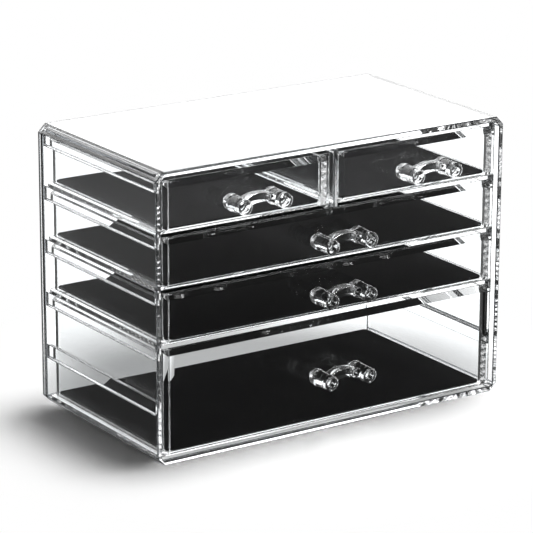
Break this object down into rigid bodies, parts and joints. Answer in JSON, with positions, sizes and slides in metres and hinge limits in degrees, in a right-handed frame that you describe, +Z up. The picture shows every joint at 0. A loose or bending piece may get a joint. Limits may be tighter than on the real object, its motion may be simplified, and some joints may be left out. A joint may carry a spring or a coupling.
{
  "type": "drawer organizer",
  "caption": "Clear acrylic tabletop drawer organizer: chamfered casing, small drawers side by side above full-width and deep ones, black liners, clear bow handles.",
  "frame": {"origin": "middle of the casing's flat underside, halfway along its width and its depth; the handles stand in front of the casing", "axes": "+X to the right seen from the front, along the width; +Y towards the back, drawers pull out along -Y; +Z up"},
  "size_m": [0.24, 0.149, 0.171],
  "materials": {
    "clear_casing": "clear polished acrylic",
    "clear_drawer": "clear polished acrylic",
    "clear_handle": "clear polished acrylic",
    "black_liner": "matt black fine-grained pad"
  },
  "bodies": {
    "casing": {"casing_sleeve": "clear_casing", "back_panel": "clear_casing", "centre_divider": "clear_casing"},
    "bottom_drawer": {"bottom_drawer": "clear_drawer", "bottom_drawer_liner": "black_liner", "bottom_drawer_handle": "clear_handle"},
    "third_drawer": {"third_drawer": "clear_drawer", "third_drawer_liner": "black_liner", "third_drawer_handle": "clear_handle"},
    "second_drawer": {"second_drawer": "clear_drawer", "second_drawer_liner": "black_liner", "second_drawer_handle": "clear_handle"},
    "top_left_drawer": {"top_left_drawer": "clear_drawer", "top_left_drawer_liner": "black_liner", "top_left_drawer_handle": "clear_handle"},
    "top_right_drawer": {"top_right_drawer": "clear_drawer", "top_right_drawer_liner": "black_liner", "top_right_drawer_handle": "clear_handle"}
  },
  "joints": [
    {"name": "bottom_slide", "type": "slide", "parent": "casing", "child": "bottom_drawer", "axis": [0, -1, 0], "range_m": [0, 0.105]},
    {"name": "third_slide", "type": "slide", "parent": "casing", "child": "third_drawer", "axis": [0, -1, 0], "range_m": [0, 0.105]},
    {"name": "second_slide", "type": "slide", "parent": "casing", "child": "second_drawer", "axis": [0, -1, 0], "range_m": [0, 0.105]},
    {"name": "top_left_slide", "type": "slide", "parent": "casing", "child": "top_left_drawer", "axis": [0, -1, 0], "range_m": [0, 0.105]},
    {"name": "top_right_slide", "type": "slide", "parent": "casing", "child": "top_right_drawer", "axis": [0, -1, 0], "range_m": [0, 0.105]}
  ]
}
